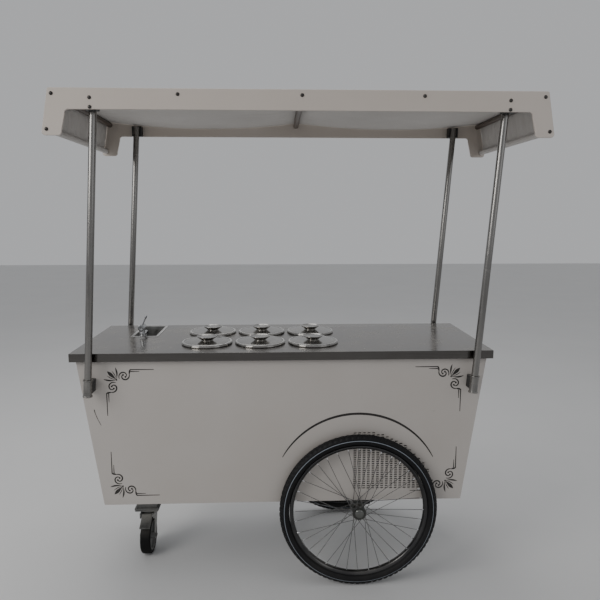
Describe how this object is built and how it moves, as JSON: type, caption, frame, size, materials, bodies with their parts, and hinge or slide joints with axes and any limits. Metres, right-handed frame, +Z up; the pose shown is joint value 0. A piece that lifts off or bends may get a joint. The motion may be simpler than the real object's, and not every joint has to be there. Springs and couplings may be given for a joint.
{
  "type": "push vending cart",
  "caption": "Push vending cart with a tapered insulated body, lidded pans in a steel worktop, spoked wheels, a caster and a fabric canopy on leaning poles.",
  "frame": {"origin": "on the ground, under the middle of the canopy", "axes": "+Z up, +X along the length towards the big wheels, +Y from the customer side to the server side"},
  "size_m": [1.8896, 0.7604, 2.006],
  "materials": {
    "frame_steel": "grey powder coat",
    "cream_paint": "cream gloss paint with dark scroll ornament",
    "worktop_steel": "brushed stainless",
    "pole_steel": "satin stainless tube",
    "lid_steel": "polished stainless",
    "pan_steel": "satin stainless",
    "chrome": "polished chrome",
    "rim_chrome": "polished chrome rim",
    "spoke_steel": "bright stainless wire",
    "hub_metal": "turned alloy",
    "tyre_rubber": "black rubber with a pale sidewall stripe",
    "caster_zinc": "zinc-plated pressed steel",
    "caster_core": "grey painted casting",
    "caster_rubber": "dark elastic tread",
    "tank_shell": "galvanised skin over foam",
    "black_block": "black moulded block",
    "board_paint": "cream satin board",
    "canopy_tube": "dark bronze tube",
    "canopy_cloth": "coated off-white awning cloth",
    "screw_steel": "dark domed screws",
    "plastic_dark": "black moulding",
    "machine_paint": "black enamel",
    "fin_aluminium": "bare fins",
    "fan_plastic": "dark plastic",
    "copper": "copper pipe",
    "can_plastic": "natural polyethylene",
    "floor_sheet": "galvanised sheet"
  },
  "bodies": {
    "cart": {"chassis_frame": "frame_steel", "axle_beam": "frame_steel", "axle_caps": "chrome", "body_floor": "floor_sheet", "front_panel": "cream_paint", "rear_panel": "cream_paint", "end_panel_left": "cream_paint", "end_panel_right": "cream_paint", "cold_tank": "tank_shell", "worktop": "worktop_steel", "dipper_well": "worktop_steel", "door_hinges": "pole_steel", "power_inlet": "plastic_dark", "control_panel": "plastic_dark", "compressor": "machine_paint", "condenser": "fin_aluminium", "fan_housing": "machine_paint", "refrigerant_pipes": "copper", "water_tanks": "can_plastic", "water_pump": "fan_plastic", "tap_body": "chrome", "pole_sockets": "pole_steel", "socket_blocks": "black_block", "caster_plate": "caster_zinc"},
    "canopy": {"canopy_poles": "pole_steel", "canopy_blocks": "black_block", "canopy_front_board": "board_paint", "canopy_rear_board": "board_paint", "canopy_tubes": "canopy_tube", "canopy_screws": "screw_steel", "canopy_fabric": "canopy_cloth"},
    "wheel_front": {"tyre_front": "tyre_rubber", "rim_front": "rim_chrome", "spokes_front": "spoke_steel", "hub_front": "hub_metal"},
    "wheel_rear": {"tyre_rear": "tyre_rubber", "rim_rear": "rim_chrome", "spokes_rear": "spoke_steel", "hub_rear": "hub_metal"},
    "caster_fork": {"caster_fork": "caster_zinc"},
    "caster_wheel": {"caster_wheel": "caster_core", "caster_tread": "caster_rubber"},
    "brake_pedal": {"brake_pedal": "caster_zinc"},
    "door_left": {"door_left": "cream_paint"},
    "door_right": {"door_right": "cream_paint"},
    "fan_rotor": {"fan_rotor": "fan_plastic"},
    "tap_spout": {"tap_spout": "chrome"},
    "tap_lever": {"tap_lever": "chrome"},
    "pan_1": {"pan_1": "pan_steel"},
    "lid_1": {"lid_1": "lid_steel"},
    "pan_2": {"pan_2": "pan_steel"},
    "lid_2": {"lid_2": "lid_steel"},
    "pan_3": {"pan_3": "pan_steel"},
    "lid_3": {"lid_3": "lid_steel"},
    "pan_4": {"pan_4": "pan_steel"},
    "lid_4": {"lid_4": "lid_steel"},
    "pan_5": {"pan_5": "pan_steel"},
    "lid_5": {"lid_5": "lid_steel"},
    "pan_6": {"pan_6": "pan_steel"},
    "lid_6": {"lid_6": "lid_steel"}
  },
  "joints": [
    {"name": "canopy_lift", "type": "slide", "parent": "cart", "child": "canopy", "axis": [0.0698, 0, 0.9976], "range_m": [0, 0.07]},
    {"name": "wheel_front_spin", "type": "hinge", "parent": "cart", "child": "wheel_front", "pos_m": [0.23892, -0.3115, 0.331], "axis": [0, 1, 0], "continuous": true},
    {"name": "wheel_rear_spin", "type": "hinge", "parent": "cart", "child": "wheel_rear", "pos_m": [0.23892, 0.3115, 0.331], "axis": [0, 1, 0], "continuous": true},
    {"name": "caster_swivel", "type": "hinge", "parent": "cart", "child": "caster_fork", "pos_m": [-0.70008, 0, 0.188], "axis": [0, 0, 1], "continuous": true},
    {"name": "caster_spin", "type": "hinge", "parent": "caster_fork", "child": "caster_wheel", "pos_m": [-0.70008, -0.035, 0.08], "axis": [1, 0, 0], "continuous": true},
    {"name": "brake_press", "type": "hinge", "parent": "caster_fork", "child": "brake_pedal", "pos_m": [-0.70008, -0.05, 0.186], "axis": [1, 0, 0], "range_deg": [0, 12]},
    {"name": "door_left_swing", "type": "hinge", "parent": "cart", "child": "door_left", "pos_m": [-0.77208, 0.2884, 0.557], "axis": [0, 0, 1], "range_deg": [0, 95]},
    {"name": "door_right_swing", "type": "hinge", "parent": "cart", "child": "door_right", "pos_m": [-0.10608, 0.2884, 0.557], "axis": [0, 0, 1], "range_deg": [-95, 0]},
    {"name": "fan_spin", "type": "hinge", "parent": "cart", "child": "fan_rotor", "pos_m": [0.36492, -0.213, 0.53], "axis": [0, 1, 0], "continuous": true},
    {"name": "spout_swivel", "type": "hinge", "parent": "cart", "child": "tap_spout", "pos_m": [-0.69808, 0.004, 1.025], "axis": [0, 0, 1], "range_deg": [-60, 60]},
    {"name": "tap_lever_turn", "type": "hinge", "parent": "cart", "child": "tap_lever", "pos_m": [-0.69808, -0.028, 1.058], "axis": [0, 1, 0], "range_deg": [0, 90]},
    {"name": "pan_1_lift", "type": "slide", "parent": "cart", "child": "pan_1", "axis": [0, 0, 1], "range_m": [0, 0.27]},
    {"name": "pan_2_lift", "type": "slide", "parent": "cart", "child": "pan_2", "axis": [0, 0, 1], "range_m": [0, 0.27]},
    {"name": "pan_3_lift", "type": "slide", "parent": "cart", "child": "pan_3", "axis": [0, 0, 1], "range_m": [0, 0.27]},
    {"name": "pan_4_lift", "type": "slide", "parent": "cart", "child": "pan_4", "axis": [0, 0, 1], "range_m": [0, 0.27]},
    {"name": "pan_5_lift", "type": "slide", "parent": "cart", "child": "pan_5", "axis": [0, 0, 1], "range_m": [0, 0.27]},
    {"name": "pan_6_lift", "type": "slide", "parent": "cart", "child": "pan_6", "axis": [0, 0, 1], "range_m": [0, 0.27]},
    {"name": "lid_1_lift", "type": "slide", "parent": "pan_1", "child": "lid_1", "axis": [0, 0, 1], "range_m": [0, 0.12]},
    {"name": "lid_2_lift", "type": "slide", "parent": "pan_2", "child": "lid_2", "axis": [0, 0, 1], "range_m": [0, 0.12]},
    {"name": "lid_3_lift", "type": "slide", "parent": "pan_3", "child": "lid_3", "axis": [0, 0, 1], "range_m": [0, 0.12]},
    {"name": "lid_4_lift", "type": "slide", "parent": "pan_4", "child": "lid_4", "axis": [0, 0, 1], "range_m": [0, 0.12]},
    {"name": "lid_5_lift", "type": "slide", "parent": "pan_5", "child": "lid_5", "axis": [0, 0, 1], "range_m": [0, 0.12]},
    {"name": "lid_6_lift", "type": "slide", "parent": "pan_6", "child": "lid_6", "axis": [0, 0, 1], "range_m": [0, 0.12]}
  ]
}
